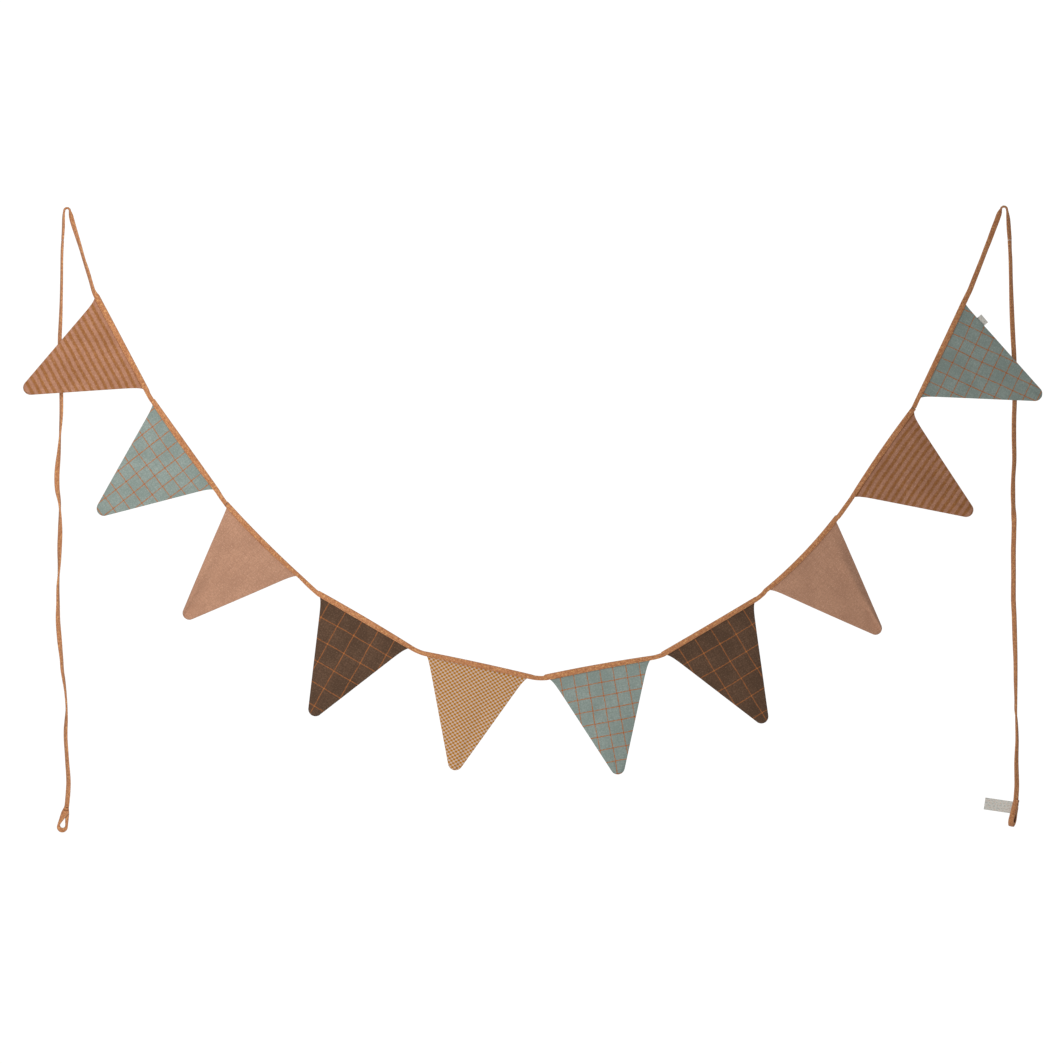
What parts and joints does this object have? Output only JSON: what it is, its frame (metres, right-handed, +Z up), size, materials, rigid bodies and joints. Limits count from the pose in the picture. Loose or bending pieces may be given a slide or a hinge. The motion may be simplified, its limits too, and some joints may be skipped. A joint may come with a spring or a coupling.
{
  "type": "fabric bunting",
  "caption": "Triangular cloth pennants sewn along a folded tape, hung in a swag from two points, with the tape's free ends hanging down as ties that finish in small loops",
  "frame": {"origin": "underside of the left top bend, where the tape hangs", "axes": "+X along the swag from the left hanging point to the right one, +Y away from the viewer, +Z up"},
  "size_m": [1.3243, 0.0256, 0.8151],
  "materials": {
    "tape": "woven cotton tape, warm light brown, folded and stitched",
    "stripe": "matt cotton, pinkish tan and brown stripes along the top edge",
    "sage": "matt cotton, grey green with thin orange brown check lines",
    "tan": "matt plain twill, warm tan",
    "brown": "matt cotton, dark brown with thin orange brown check lines",
    "check": "matt cotton, small diagonal check in ochre on pinkish beige",
    "label": "bare woven label, off white"
  },
  "bodies": {
    "root": {"binding": "tape", "flag_01": "stripe", "flag_02": "sage", "flag_03": "tan", "flag_04": "brown", "flag_05": "check", "flag_06": "sage", "flag_07": "brown", "flag_08": "tan", "flag_09": "stripe", "flag_10": "sage", "tie_left": "tape", "tie_right": "tape", "loop_left": "tape", "loop_right": "tape", "label_side": "label", "label_care": "label"}
  },
  "joints": []
}
